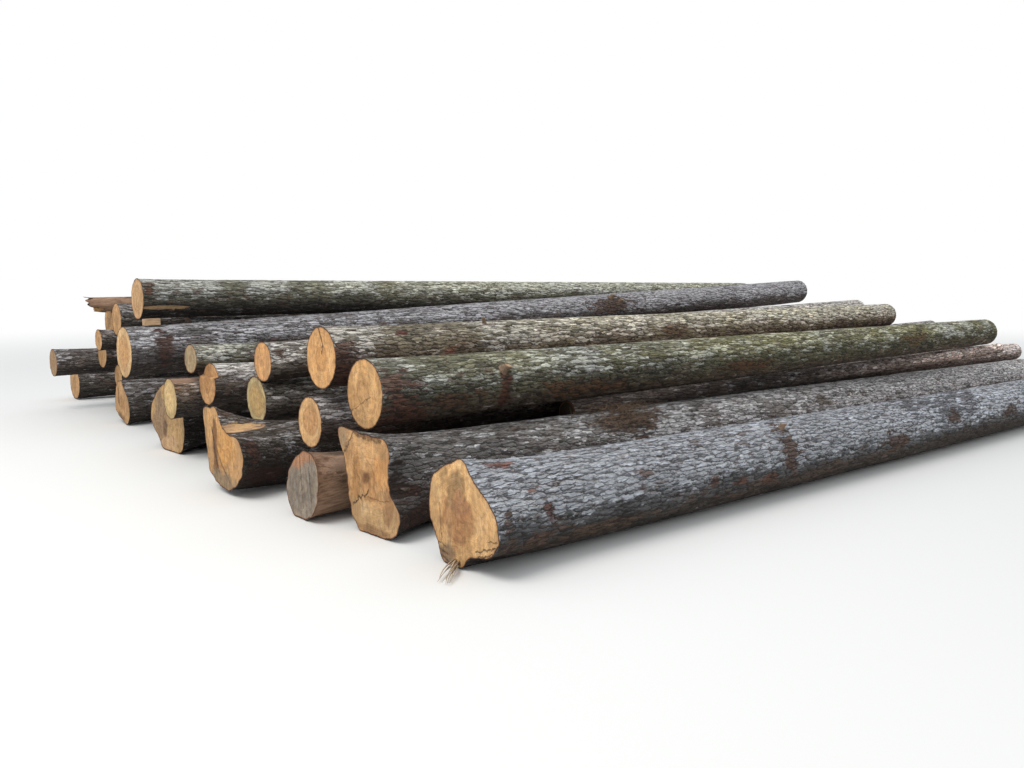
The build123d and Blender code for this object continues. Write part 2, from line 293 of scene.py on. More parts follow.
# Patches on a log's bark: distance from the butt, angle round the stem, half length, half width, colour and
# strength
PATCHES = {
    "front_log": [
        (0.23, 101, 0.12, 0.055, (132, 86, 72), 0.80),
        (0.33, 140, 0.06, 0.04, (120, 88, 78), 0.8),
        (0.40, 172, 0.05, 0.07, (98, 60, 50), 0.85),
        (0.12, 200, 0.10, 0.16, (92, 72, 60), 0.85),
        (0.34, 205, 0.20, 0.11, (96, 74, 62), 0.85),
        (0.85, 215, 0.50, 0.07, (94, 76, 64), 0.9),
        (1.88, 182, 0.08, 0.05, RUST, 0.85),
        (2.16, 192, 0.08, 0.06, RUST, 0.85),
        (2.54, 200, 0.14, 0.07, RUST, 0.9),
        (2.77, 165, 0.10, 0.22, (92, 68, 54), 0.95),
        (1.25, 152, 0.08, 0.05, (126, 106, 98), 0.85),
        (3.20, 212, 1.50, 0.10, (92, 76, 66), 0.85),
        (6.20, 205, 1.80, 0.10, (74, 64, 58), 0.85),
        (4.30, 185, 0.25, 0.09, (88, 62, 48), 0.9),
        (5.40, 160, 0.16, 0.08, (92, 70, 58), 0.9),
        (6.60, 175, 0.22, 0.08, (84, 62, 50), 0.9),
    ],
    "second_log": [
        (0.06, 165, 0.07, 0.14, (44, 30, 24), 1.0),
        (0.09, 178, 0.05, 0.02, (132, 118, 104), 0.9),
        (0.30, 215, 0.35, 0.16, (66, 42, 32), 1.0),
        (0.90, 190, 0.30, 0.08, (86, 60, 48), 0.9),
        (2.30, 130, 0.36, 0.13, (88, 66, 48), 1.0),
        (5.20, 150, 0.25, 0.07, (124, 112, 102), 0.8),
    ],
    "mossy_log": [
        (0.10, 160, 0.14, 0.15, (98, 66, 52), 0.9),
        (0.16, 215, 0.22, 0.20, (98, 64, 52), 1.0),
        (1.02, 185, 0.05, 0.16, (92, 56, 42), 1.0),
        (0.55, 200, 0.30, 0.08, (100, 74, 56), 0.9),
        (1.80, 205, 0.50, 0.08, (104, 76, 54), 0.9),
        (3.90, 200, 0.40, 0.07, (96, 66, 44), 0.9),
        (7.00, 170, 0.30, 0.08, (110, 88, 56), 0.9),
    ],
    "cracked_log": [
        (0.07, 195, 0.14, 0.16, (92, 60, 48), 1.0),
        (0.32, 215, 0.40, 0.12, (84, 54, 44), 1.0),
        (0.98, 182, 0.05, 0.035, (150, 104, 84), 1.0),
        (0.60, 130, 0.05, 0.03, (96, 52, 46), 1.0),
        (3.60, 170, 0.25, 0.07, (120, 92, 70), 0.9),
    ],
    "long_upper_log": [
        (0.34, 175, 0.10, 0.22, (88, 62, 54), 0.85),
        (1.60, 190, 0.30, 0.08, (96, 74, 62), 0.9),
        (6.80, 160, 0.42, 0.13, (92, 68, 52), 1.0),
    ],
    "stepped_log": [(0.35, 170, 0.09, 0.04, (88, 58, 48), 0.9)],
    "half_hidden_log": [(0.08, 150, 0.06, 0.06, (96, 70, 56), 0.9)],
    "top_log": [
        (0.06, 160, 0.08, 0.12, (96, 62, 44), 0.9),
        (0.20, 206, 0.26, 0.022, (168, 140, 104), 1.0),
    ],
    "split_butt_log": [
        (0.12, 96, 0.20, 0.06, (186, 150, 106), 1.0),
        (0.10, 160, 0.08, 0.12, (78, 52, 42), 0.75),
        (0.20, 205, 0.20, 0.14, (58, 34, 26), 0.9),
    ],
    "peeled_log": [
        (0.45, 102, 0.50, 0.05, (70, 60, 52), 1.0),
        (0.24, 136, 0.18, 0.07, (160, 132, 112), 1.0),
        (0.75, 170, 0.20, 0.10, (92, 82, 74), 0.9),
    ],
}
# Marks on a log's sawn face: across, height, half width, half height, colour, strength
FACE_MARKS = {
    "front_log": [
        (-4.32, 0.29, 0.13, 0.15, (162, 118, 78), 0.9),
        (-4.32, 0.43, 0.09, 0.11, (152, 120, 82), 0.9),
        (-4.36, 0.36, 0.06, 0.07, (172, 120, 84), 0.5),
        (-4.30, 0.62, 0.14, 0.06, (228, 186, 134), 0.9),
        (-4.58, 0.38, 0.08, 0.16, (210, 166, 114), 0.7),
        (-4.21, 0.05, 0.08, 0.08, (112, 92, 72), 0.8),
        (-4.28, -0.03, 0.10, 0.06, (140, 120, 98), 0.8),
    ],
    "second_log": [
        (-3.10, 0.58, 0.13, 0.10, (156, 128, 96), 1.0),
        (-3.40, 0.35, 0.05, 0.05, (118, 82, 52), 0.9),
        (-3.50, 0.12, 0.25, 0.10, (186, 152, 108), 0.9),
        (-3.30, 0.36, 0.05, 0.14, (168, 124, 78), 0.8),
        (-3.44, 0.50, 0.12, 0.06, (212, 166, 114), 0.7),
        (-3.58, 0.40, 0.10, 0.10, (206, 150, 92), 0.7),
        (-3.64, 0.20, 0.05, 0.12, (150, 110, 74), 0.7),
        (-3.50, 0.03, 0.16, 0.03, (140, 106, 74), 0.8),
        (-3.42, 0.15, 0.07, 0.05, (208, 172, 126), 0.8),
    ],
    "twisted_butt_log": [
        (0.32, 0.25, 0.14, 0.24, (142, 116, 88), 0.9),
        (0.10, 0.08, 0.16, 0.07, (190, 154, 116), 0.8),
        (0.20, 0.20, 0.05, 0.07, (96, 68, 50), 0.7),
    ],
    "back_butt_log": [
        (2.10, 0.06, 0.12, 0.08, (110, 86, 60), 0.8),
        (2.14, 0.30, 0.03, 0.09, (128, 88, 54), 0.8),
    ],
    "pink_log": [(-2.24, 0.76, 0.03, 0.04, (84, 52, 34), 0.8)],
    "peeled_log": [(-2.75, 0.42, 0.25, 0.07, (178, 128, 92), 0.9)],
    "split_butt_log": [
        (-1.86, 0.36, 0.16, 0.16, (204, 150, 86), 0.8),
        (-1.60, 0.55, 0.10, 0.16, (206, 160, 104), 0.8),
        (-1.66, 0.30, 0.04, 0.22, (110, 72, 42), 0.8),
        (-1.80, 0.08, 0.20, 0.08, (136, 118, 94), 0.8),
    ],
}
# How much algae greens a log, and how much lighter its bark gets by 3 m and by 8 m from the butt. A
# number below zero makes it darker there. These lifts are painted light and shade: they make up for how
# much light reaches each stretch of a log.
GREEN = {"mossy_log": 1.0, "cracked_log": 0.3, "top_log": 0.35, "knot_log": 0.6}
PAINTED_LIGHT_ALONG = {
    "second_log": (0.55, 0.3),
    "top_log": (0.7, -0.3),
    "mossy_log": (0.0, -0.2),
    "cracked_log": (0.75, -0.45),
    "pink_log": (0.6, 0.6),
    "under_log_7": (-0.7, 4.2),
    "front_log": (0.0, 0.2),
}
print("tones for", len(TONES), "logs, patches on", len(PATCHES), "logs, marks on", len(FACE_MARKS), "faces")


# %% Patches and bare wood, point by point
BARE_TONE = 400  # a patch whose red, green and blue add up to more than this is bare wood


def patches_on(name, along, around, reach):
    """Patch colour with its weight, and the bare wood of the light patches. A patch weighs 1 in the
    middle of its ellipse and 0 at twice its size; the material cuts it off at one half along the edges of
    the scales."""
    patch = np.zeros(reach.shape + (4,))
    patch[..., :3] = colour(*RUST)
    bare = np.zeros(reach.shape)
    for far, angle, length, width, tone, strength in PATCHES.get(name, ()):
        turn = np.abs((around - math.radians(angle) + math.pi) % (2 * math.pi) - math.pi)
        size = np.hypot((along[:, None] - far) / length, turn[None, :] * reach / width)
        weight = strength * np.clip(1 - 0.5 * size, 0, 1)
        if sum(tone) > BARE_TONE:
            bare = np.maximum(bare, smooth(0.30, 0.60, weight))
        nearer = weight > patch[..., 3]
        patch[nearer, :3] = colour(*tone)
        patch[nearer, 3] = weight[nearer]
    return patch, bare


def bare_wood(name, along, around, fine):
    """Where a log has no bark: all but a strip of the peeled one, a strip of another, the end of the
    broken one."""
    along = along[:, None]
    if name == "peeled_log":
        kept = smooth(0.30, 0.05, np.abs(around - 1.45) + 0.25 * fine)
        return 1 - kept * smooth(0.1, 0.5, along)
    if name == "strip_log":
        strip = smooth(0.5, 0.3, np.abs(around - 1.75) + 0.15 * fine)
        return strip * smooth(3.0, 2.0, along)
    if name == "broken_log":
        return smooth(1.2, 0.2, along + 0.5 * fine)
    return 0.0


print("patches on the front log:", len(PATCHES["front_log"]))

# %% Colours of the bark and of the wood, point by point
ALGAE = (1.22, 1.14, 0.48)  # olive, as parts of a grey
CLEAN_BUTT = {"second_log": (0.35, 0.95)}  # share of pale scales at the butt, and what is added by 3 m


def bark_paint(name, points, axis, along, around):
    """Bark colour with the amount of pale scales, patch colour with its weight, and a vector of relief
    and bare wood. The colour goes from the lower to the side to the upper tone with the height: darker
    underneath as painted shade, lighter on top partly as painted light. Noise moves the borders, each log's
    listed lift along the stem paints light and shade, and algae pull it to olive, most of all towards the tip."""
    top, side, under, flaky = TONES.get(name, PLAIN_BARK)[:4]
    n = noise(points, 0.35, 11, 3)
    fine = noise(points * (0.6, 1, 1), 0.05, 17, 2)
    up = np.sin(around) + 0.30 * n + 0.12 * fine
    # darker underneath as painted shade, lighter on top partly as painted light
    tint = colour(*under) + (colour(*side) - colour(*under)) * smooth(-0.75, 0.05, up)[..., None]
    tint = tint + (colour(*top) - tint) * smooth(0.1, 0.7, up)[..., None]
    tint = tint * (1 + 0.30 * noise(points * (0.6, 1, 1), 0.6, 23, 3) + 0.12 * fine)[..., None]
    tipward = smooth(2.0, 8.0, along)[:, None]
    lighter = smooth(0.6, 3.0, along)[:, None]
    # painted light and shade along the stem: each log's lift by 3 m and by 8 m from the butt
    first, last = PAINTED_LIGHT_ALONG.get(name, (0.0, 0.0))
    tint = tint * (1 + 0.45 * tipward)[..., None]
    tint = tint * (1 + first * lighter + last * tipward)[..., None]
    # pale scales gather on top: partly bleached bark, partly painted light
    pale = flaky * smooth(-0.30, 0.35, up) * smooth(-0.55, 0.2, noise(points, 0.5, 31, 2) + 0.15)
    pale = pale + 0.30 * tipward * smooth(-0.3, 0.35, up)
    at_butt, more = CLEAN_BUTT.get(name, (1.0, 0.0))
    pale = pale * (at_butt + more * lighter)
    algae = GREEN.get(name, 0.0) * smooth(-1.5, 4.0, along)[:, None] * smooth(-0.9, 0.5, np.sin(around - 0.2))
    algae = algae * smooth(-0.7, 0.2, noise(points, 0.25, 41, 3))
    grey = tint.mean(axis=-1, keepdims=True)
    tint = tint + (grey * ALGAE - tint) * (0.95 * algae)[..., None]
    pale = pale * (1 - 0.55 * algae)
    reach = np.linalg.norm(points - axis[:, None], axis=-1)
    patch, bare = patches_on(name, along, around, reach)
    bare = np.maximum(bare, bare_wood(name, along, around, fine))
    relief = (1 - 0.7 * bare) * (0.75 + 0.25 * n)
    form = np.stack([relief, bare, np.zeros(bare.shape)], axis=-1)
    return np.concatenate([tint, pale[..., None]], axis=-1), patch, form


def wood_paint(name, points, share, reach):
    """Wood colour with the weight of the heart, and a vector of ring distance, depth in from the bark and
    dirt. Rings repeat the outline, so the ring distance is the share of the way out times the mean
    reach."""
    *_, face, heart, size = TONES.get(name, SHADED_BURIED_END if name.startswith("under_log") else PLAIN_END)
    n = noise(points, 0.12, 53, 4)
    tint = colour(*face) * (1 + 0.40 * noise(points * (1, 1, 0.35), 0.06, 59, 3)[..., None])
    weight = smooth(size + 0.12, size - 0.10, share + 0.26 * n)
    dirt = smooth(0.1, 0.8, noise(points, 0.16, 61, 3) + 0.5 * (share - 0.6))
    tint = tint + (colour(*heart) - tint) * (0.7 * weight)[..., None]
    for across, high, wide, tall, tone, strength in FACE_MARKS.get(name, ()):
        far = np.hypot((points[..., 1] - across) / wide, (points[..., 2] - high) / tall)
        mask = strength * smooth(1.28, 0.78, far + 0.9 * n)
        tint = tint + (colour(*tone) - tint) * mask[..., None]
    form = np.stack([share * reach.mean(), (1 - share) * reach, dirt], axis=-1)
    return np.concatenate([tint, weight[..., None]], axis=-1), form


print("marks on the front log's face:", len(FACE_MARKS["front_log"]))

# %% [markdown]
# ## From grid to mesh
# The side, the sawn butt and the tip are one closed mesh. The rim between bark and wood is marked sharp, so
# that the shading doesn't run round the edge. Three colour layers and two vector layers go with the points:
# the materials turn them into bark and wood.


# %% Mesh from arrays
LAYERS = ("bark_tint", "bark_patch", "bark_form", "wood_tint", "wood_form")


def put_mesh(name, points, faces, slots, layers, rim=None):
    """New mesh object from arrays: blocks of faces with as many corners as a block has columns, a material
    number per face, layers per point, and sharp edges between points of the same rim."""
    mesh = bpy.data.meshes.new(name)
    counts = np.concatenate([np.full(len(block), block.shape[1]) for block in faces])
    flat = np.concatenate([block.ravel() for block in faces])
    mesh.vertices.add(len(points))
    mesh.vertices.foreach_set("co", points.astype(np.float32).ravel())
    mesh.loops.add(len(flat))
    mesh.loops.foreach_set("vertex_index", flat.astype(np.int32))
    mesh.polygons.add(len(counts))
    mesh.polygons.foreach_set("loop_start", np.concatenate([[0], np.cumsum(counts)[:-1]]).astype(np.int32))
    mesh.polygons.foreach_set("material_index", np.asarray(slots, dtype=np.int32))
    mesh.update(calc_edges=True)
    mesh.polygons.foreach_set("use_smooth", np.ones(len(counts), dtype=bool))
    for layer, values in layers.items():
        kind, field = ("FLOAT_COLOR", "color") if values.shape[1] == 4 else ("FLOAT_VECTOR", "vector")
        mesh.attributes.new(layer, kind, "POINT").data.foreach_set(field, values.astype(np.float32).ravel())
    if rim is not None:
        ends = np.empty(2 * len(mesh.edges), dtype=np.int32)
        mesh.edges.foreach_get("vertices", ends)
        sharp = rim[ends].reshape(-1, 2)
        mesh.attributes.new("sharp_edge", "BOOLEAN", "EDGE").data.foreach_set(
            "value", (sharp[:, 0] > 0) & (sharp[:, 0] == sharp[:, 1])
        )
    mesh.validate()
    piece = bpy.data.objects.new(name, mesh)
    bpy.context.scene.collection.objects.link(piece)
    return piece


def strip_faces(first, second, corners):
    """Four-cornered faces between two rows of points, closed round the stem."""
    j = np.arange(corners)
    k = (j + 1) % corners
    first, second = np.asarray(first)[:, None], np.asarray(second)[:, None]
    return np.stack([first + j, first + k, second + k, second + j], axis=-1).reshape(-1, 4)


print("layers", LAYERS)

# %% The side of a log
PLATE_WIDTH, PLATE_LENGTH = 0.036, 0.055
GAP_DEPTH, LUMP_DEPTH, BARK_DEPTH = 0.0055, 0.004, 0.007
STEP_RISE, STEP_DEPTH = 0.06, 0.035


def torn_end(name, around):
    """How far each corner of the butt is set back: a few millimetres, or long splinters in the broken log."""
    turn = np.stack([np.cos(around), np.sin(around), 0 * around], axis=-1)
    if name == "broken_log":
        splinters = 0.16 * smooth(-0.6, 0.7, noise(turn * 0.09, 0.05, 73, 2))
        return splinters + 0.10 * smooth(0.3, -0.8, np.sin(around))
    return 0.003 * (1 + noise(turn * 0.4, 0.04, 71, 2))


def bark_depth(points, along, around, reach, form):
    """How far the bark lies in from the solid's skin: gaps between plates, soft lumps and, where the bark
    is gone, its thickness. All of it shrinks to 30% at the saw cut."""
    turns = max(int(reach.mean() * 2 * math.pi / PLATE_WIDTH), 6)
    edge, level = plates(
        around[None, :] / (2 * math.pi) * turns + 0.35 * noise(points, 0.07, 83, 2),
        along[:, None] / PLATE_LENGTH + 0.35 * noise(points, 0.06, 87),
        turns,
        89,
    )
    depth = GAP_DEPTH * form[..., 0] * (1 - smooth(0.02, 0.30, edge) * (0.55 + 0.45 * level))
    depth = depth + LUMP_DEPTH * (1 + noise(points * (0.4, 1, 1), 0.22, 97, 2)) + BARK_DEPTH * form[..., 1]
    return depth * (smooth(0.0, 0.02, along)[:, None] * 0.7 + 0.3)


def bark_side(name, corners, near, far):
    """Side of a log: its points, its axis, its reach and the bark's layers. The skin moves in by the
    bark's depth, its butt rows back by the tear, and nothing goes below the floor."""
    points, axis, along = stem_grid(name, corners, near, far)
    around = np.linspace(0, 2 * math.pi, corners, endpoint=False)
    out = points - axis[:, None]
    out[..., 0] = 0
    reach = np.linalg.norm(out, axis=-1)
    out /= reach[..., None]
    paint = bark_paint(name, points, axis, along, around)
    points = points - out * bark_depth(points, along, around, reach, paint[2])[..., None]
    points[..., 0] += torn_end(name, around) * np.clip(1 - along / 0.5, 0, 1)[:, None] ** 2
    points[..., 2] = points[..., 2].clip(0.0)
    if name == "stepped_log":
        above = points[..., 2] > axis[:, None, 2] + STEP_RISE
        points[..., 0] += np.where(above, STEP_DEPTH, 0.0) * np.clip(1 - along / 0.2, 0, 1)[:, None]
    return points, axis, reach, paint


print("a bark plate is", PLATE_WIDTH, "by", PLATE_LENGTH, "m")


# %% Build one log
def cut_points(name, rim, step, reach, steps, butt):
    """Points of one end with their layers: rows from the rim inwards, then the pith, a little off the
    middle. The stepped log's butt has two levels, and the broken log's is splintered."""
    share = np.linspace(1, 0, steps + 1)[1:-1]
    pith = rim.mean(axis=0) + (0, 0.03 * reach.mean(), -0.04 * reach.mean())
    cap = pith + (rim - pith)[None] * share[:, None, None]
    middle = pith[None]
    if butt and name == "stepped_log":
        flat = rim[:, 0][rim[:, 2] < step].mean()
        cap[..., 0] = np.where(cap[..., 2] > step, flat + STEP_DEPTH, flat)
        middle = np.array([[flat, pith[1], pith[2]]])
    if butt and name == "broken_log":
        cap[..., 0] += 0.10 * smooth(-0.3, 0.8, noise(cap * (0, 1, 1), 0.03, 101, 2))
    if butt:
        cap[..., 0] += 0.0012 * noise(cap * (1, 1, 0.3), 0.03, 103, 2)
    points = np.concatenate([cap.reshape(-1, 3), middle])
    shares = np.append(np.repeat(share, len(rim)), 0.0)
    reaches = np.append(np.tile(reach, steps - 1), reach.mean())
    empty = np.zeros((len(points), 4))
    return [points, empty, empty, empty[:, :3], *wood_paint(name, points, shares, reaches)]


def cut_faces(start, rim_start, steps, corners, butt):
    """Faces of one end: strips from the rim inwards, and a fan round the pith. The butt's look the other
    way."""
    rows = start + np.arange(steps - 1) * corners
    strips = strip_faces(np.append(rim_start, rows[:-1]), rows, corners)
    j = np.arange(corners)
    pith = np.full(corners, start + (steps - 1) * corners)
    fan = np.stack([rows[-1] + j, rows[-1] + (j + 1) % corners, pith], axis=-1)
    return [strips[:, ::-1], fan[:, ::-1]] if butt else [strips, fan]


def make_log(name, corners, near, far, rings_in_face):
    """Dressed log: the rows of the side, then the points of the butt and of the tip, which has a third as
    many rows, joined into one mesh."""
    points, axis, reach, paint = bark_side(name, corners, near, far)
    rows = len(points)
    blocks = [[points, *paint, *wood_paint(name, points, np.ones((rows, corners)), reach)]]
    faces = [strip_faces(np.arange(rows - 1) * corners, np.arange(1, rows) * corners, corners)]
    start = rows * corners
    for row, steps in ((0, rings_in_face), (rows - 1, max(rings_in_face // 3, 3))):
        blocks.append(cut_points(name, points[row], axis[row, 2] + STEP_RISE, reach[row], steps, row == 0))
        faces.extend(cut_faces(start, row * corners, steps, corners, row == 0))
        start += len(blocks[-1][0])
    slots = np.repeat([0, 1], [len(faces[0]), sum(map(len, faces[1:]))])
    rim_mark = np.zeros(start, dtype=int)
    rim_mark[:corners] = 1
    rim_mark[(rows - 1) * corners : rows * corners] = 2
    every, *layers = (np.concatenate([b.reshape(-1, b.shape[-1]) for b in column]) for column in zip(*blocks))
    piece = put_mesh(name + "_dressed", every, faces, slots, dict(zip(LAYERS, layers)), rim_mark)
    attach(piece, "root")
    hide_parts(name)
    return piece


print("the stepped log's step is", STEP_DEPTH, "m deep")

# %% [markdown]
# ## Shader maths as plain expressions
# A node tree is easier to read as a formula. The class below wraps a socket; adding, subtracting or
# multiplying two of them adds a Math node, and `node` adds any other node.


# %% A small shader language
class Value:
    """A socket of a node tree that can be used in Python expressions."""

    def __init__(self, tree, socket):
        self.tree = tree
        self.socket = socket

    def node(self, kind, settings=None, inputs=None, output=0):
        """Adds a node of a kind, applies its settings, then fills its sockets with values or links."""
        made = self.tree.nodes.new(kind)
        for key, value in (settings or {}).items():
            setattr(made, key, value)
        for key, value in (inputs or {}).items():
            if isinstance(value, Value):
                self.tree.links.new(value.socket, made.inputs[key])
            else:
                made.inputs[key].default_value = value
        return Value(self.tree, made.outputs[output])

    def math(self, operation, *others):
        """A Math node on this value and others."""
        return self.node("ShaderNodeMath", {"operation": operation}, {0: self, **dict(enumerate(others, 1))})

    def __add__(self, other):
        return self.math("ADD", other)

    __radd__ = __add__

    def __mul__(self, other):
        return self.math("MULTIPLY", other)

    __rmul__ = __mul__

    def __sub__(self, other):
        return self.math("SUBTRACT", other)

    def __rsub__(self, other):
        return (self * -1.0) + other

    def rise(self, low, high):
        """0 at low, 1 at high, smooth between them."""
        return self.node(
            "ShaderNodeMapRange",
            {"interpolation_type": "SMOOTHSTEP"},
            {"Value": self, "From Min": low, "From Max": high},
        )

    def mix(self, other, share):
        """This colour, with a share of another."""
        return self.node("ShaderNodeMix", {"data_type": "RGBA"}, {0: share, 6: self, 7: other}, output=2)

    def times(self, other):
        """This colour or vector times another, part by part."""
        return self.node("ShaderNodeVectorMath", {"operation": "MULTIPLY"}, {0: self, 1: other})

    def plus(self, other):
        """This vector plus another."""
        return self.node("ShaderNodeVectorMath", {"operation": "ADD"}, {0: self, 1: other})

    def scaled(self, amount):
        """This colour or vector times a number."""
        return self.node("ShaderNodeVectorMath", {"operation": "SCALE"}, {0: self, "Scale": amount})

    def clouds(self, size, detail=2.0, rough=0.5):
        """Noise of a given size in metres, 0 to 1, mean one half."""
        inputs = {"Vector": self, "Scale": 1 / size, "Detail": detail, "Roughness": rough}
        return self.node("ShaderNodeTexNoise", None, inputs)

    def parts(self):
        """The three parts of this colour or vector."""
        first = self.node("ShaderNodeSeparateXYZ", None, {0: self})
        return [Value(self.tree, output) for output in first.socket.node.outputs]


def start_material(name):
    """New material; gives it, its shader, and a stub from which the first nodes are made."""
    material = bpy.data.materials.new(name)
    material.use_nodes = True
    shader = material.node_tree.nodes["Principled BSDF"]
    return material, shader, Value(material.node_tree, None)


def object_place(stub):
    """Place on the piece, in metres."""
    return stub.node("ShaderNodeTexCoord", output=3)


def layer(stub, name, output="Color"):
    """A point layer of the mesh."""
    return stub.node("ShaderNodeAttribute", {"attribute_name": name}, output=output)


def into(material, shader, **sockets):
    """Links values into the shader's sockets, whose names are written with underscores."""
    for name, value in sockets.items():
        socket = shader.inputs[name.replace("_", " ")]
        if isinstance(value, Value):
            material.node_tree.links.new(value.socket, socket)
        else:
            socket.default_value = value


print("shader language ready")

# %% [markdown]
# ## Bark
# Spruce bark is a skin of thin round scales, 2 to 5 cm wide, that curl off at their lower edges. Between
# them it is dark and red-brown, and where the sky has bleached it the scales are blue-grey. Nearest-cell
# noise gives the scales: its distance to the edge is the gap, its random colour makes each scale a little
# different, and the offset from the cell's middle tilts it like a shingle. The gaps and the lower edge of
# each scale are painted dark as painted shade, and each upper edge gets a painted highlight. A finer cell
# noise flakes their surface.


# %% Overlapping scales
SCALES, FLAKES = 38.0, 84.0  # large and small ones, to the metre
LEAN = (-0.35, -0.45, -0.9)  # a scale leans out downwards, and a little to the front and the butt


def scales(drawn, count):
    """Overlapping scales, `count` to the metre: each one's tone, the painted shade under its lower edge, the
    painted highlight on its upper edge, and its height. A scale leans outwards towards its lower edge, like a
    shingle."""
    cells = {"Vector": drawn, "Scale": count, "Randomness": 1.0}
    scale = drawn.node("ShaderNodeTexVoronoi", {"feature": "F1"}, cells)
    outputs = scale.socket.node.outputs
    gap = drawn.node("ShaderNodeTexVoronoi", {"feature": "DISTANCE_TO_EDGE"}, cells)
    tone, _, other = Value(drawn.tree, outputs[1]).parts()
    away = drawn.plus(Value(drawn.tree, outputs[2]).scaled(-1.0)).parts()
    lean = (away[0] * LEAN[0] + away[1] * LEAN[1] + away[2] * LEAN[2]) * count
    crack = 1.0 - gap.rise(0.01, 0.08)
    edge = 1.0 - gap.rise(0.05, 0.30)
    shade = (edge * lean.rise(-0.10, 0.20)).math("MAXIMUM", crack * 0.55) * (0.65 + other * 0.35)
    edge_highlight = edge * (lean * -1.0).rise(0.0, 0.4)
    height = gap.rise(0.0, 0.20) * 0.5 + lean * 0.55 + tone * 0.5
    return tone, shade, edge_highlight, height


print("scales about", round(1 / SCALES, 3), "m wide, flakes", round(1 / FLAKES, 3))

# %% Bark material
WOBBLE = (0.09, 0.026, 0.026)  # how far noise bends the scales along X, Y and Z, in metres
LONG = (0.25, 1.0, 1.0)  # scales are drawn longer along the stem
STREAKY = (0.55, 1.0, 1.0)
SILVER = (0.41, 0.437, 0.482)
HIGHLIGHT_TONE = (0.66, 0.65, 0.63, 1)
FALLEN_TONE = (0.135, 0.082, 0.058, 1)
GAP_SHADE_TONE = (0.022, 0.017, 0.014, 1)
OPEN_WOOD = ((0.36, (0.12, 0.068, 0.042, 1)), (0.66, (0.40, 0.252, 0.165, 1)))


def bark_material():
    """Bark from the mesh's layers: its tone varies from scale to scale, then come bleached scales with a
    painted highlight on their upper edges, fallen ones, the patches, the painted shade of the gaps and under
    the scales, and bare wood where the layer says so."""
    material, shader, stub = start_material("spruce_bark")
    place = object_place(stub)
    tint = layer(stub, "bark_tint")
    pale = layer(stub, "bark_tint", "Alpha")
    patch = layer(stub, "bark_patch")
    patched = layer(stub, "bark_patch", "Alpha")
    relief, bare, _ = layer(stub, "bark_form", "Vector").parts()
    # Scales on coordinates that noise has bent, and noise of three sizes
    waves = {"Vector": place, "Scale": 26.0, "Detail": 5.0, "Roughness": 0.62}
    bend = place.node("ShaderNodeTexNoise", None, waves, output=1)
    drawn = place.plus(bend.plus((-0.5, -0.5, -0.5)).times(WOBBLE)).times(LONG)
    tone, shade, edge_highlight, height = scales(drawn, SCALES)
    small_tone, small_shade, small_edge_highlight, small_height = scales(drawn.plus((3.1, 1.7, 0.4)), FLAKES)
    grain = drawn.clouds(0.008, 4.0, 0.65)
    blotch = place.times(STREAKY).clouds(0.13, 6.0, 0.62)
    worn = place.times(STREAKY).plus((7.0, 3.0, 1.0)).clouds(0.09, 5.0, 0.62)
    strong = 0.4 + relief * 0.6
    # The log's own tone, different on each scale
    light = 0.38 + tone * 0.85 + small_tone * 0.42 + (grain - 0.5) * 1.0 + (blotch - 0.5) * 1.4
    bark = tint.scaled(light.math("MAXIMUM", 0.15))
    # Scales that the sky has bleached, and painted highlights on their upper edges
    bleached = tone * 0.66 + small_tone * 0.24 + blotch * 0.75 + (grain - 0.5) * 0.7 + pale * 0.95
    silver = stub.node("ShaderNodeCombineXYZ", None, dict(enumerate(SILVER)))
    silver = silver.mix(tint.scaled(2.2), 0.50).scaled(0.30 + small_tone * 0.60 + tone * 0.75 + grain * 0.40)
    bark = bark.mix(silver, (bleached - 1.08).rise(0.0, 0.32) * 0.95)
    edge_highlights = (edge_highlight * 0.8 + small_edge_highlight * 0.4) * (0.20 + pale) * grain.rise(0.32, 0.60)
    bark = bark.mix(HIGHLIGHT_TONE, edge_highlights * 0.6)
    # Places where scales have fallen off, and the patches, cut off along the scales
    fallen = (worn + (tone - 0.5) * 0.16 + (grain - 0.5) * 0.2).rise(0.60, 0.66)
    bark = bark.mix(FALLEN_TONE, fallen * 0.7)
    ragged = (patched + (tone - 0.5) * 0.40 + (worn - 0.5) * 0.9 + (grain - 0.5) * 0.7).rise(0.47, 0.62)
    covered = patch.scaled(0.45 + small_tone * 0.45 + tone * 0.20 + grain * 0.5)
    bark = bark.mix(covered, ragged * 0.9)
    # Painted shade in the gaps and under the scales
    dark = (shade * 1.05 + small_shade * 0.34).math("MINIMUM", 0.95) * strong
    bark = bark.mix(GAP_SHADE_TONE, dark)
    # Bare wood, streaked along the stem
    fibre = place.times((0.05, 1.0, 1.0)).clouds(0.012, 4.0, 0.6)
    smear = place.times((0.4, 1.0, 1.0)).clouds(0.08, 5.0, 0.62)
    wood = stub.node("ShaderNodeValToRGB", None, {0: fibre * 0.6 + smear * 0.4})
    for stop, (position, wood_tone) in zip(wood.socket.node.color_ramp.elements, OPEN_WOOD):
        stop.position, stop.color = position, wood_tone
    open_wood = (bare + (smear - 0.5) * 0.9).rise(0.45, 0.55)
    skin = bark.mix(wood, open_wood).mix(covered, ragged * open_wood * 0.8)
    rough = height + small_height * 0.45 + grain * 0.4 - ragged * 0.5
    rough = rough * (1.0 - open_wood) * strong + fibre * 0.25
    bump = stub.node("ShaderNodeBump", None, {"Strength": 1.0, "Distance": 0.014, "Height": rough})
    into(material, shader, Base_Color=skin, Roughness=0.9 - open_wood * 0.2, Normal=bump)
    shader.inputs["Specular IOR Level"].default_value = 0.25
    return material


bark = bark_material()
print("bark material", bark.name, "with", len(bark.node_tree.nodes), "nodes")

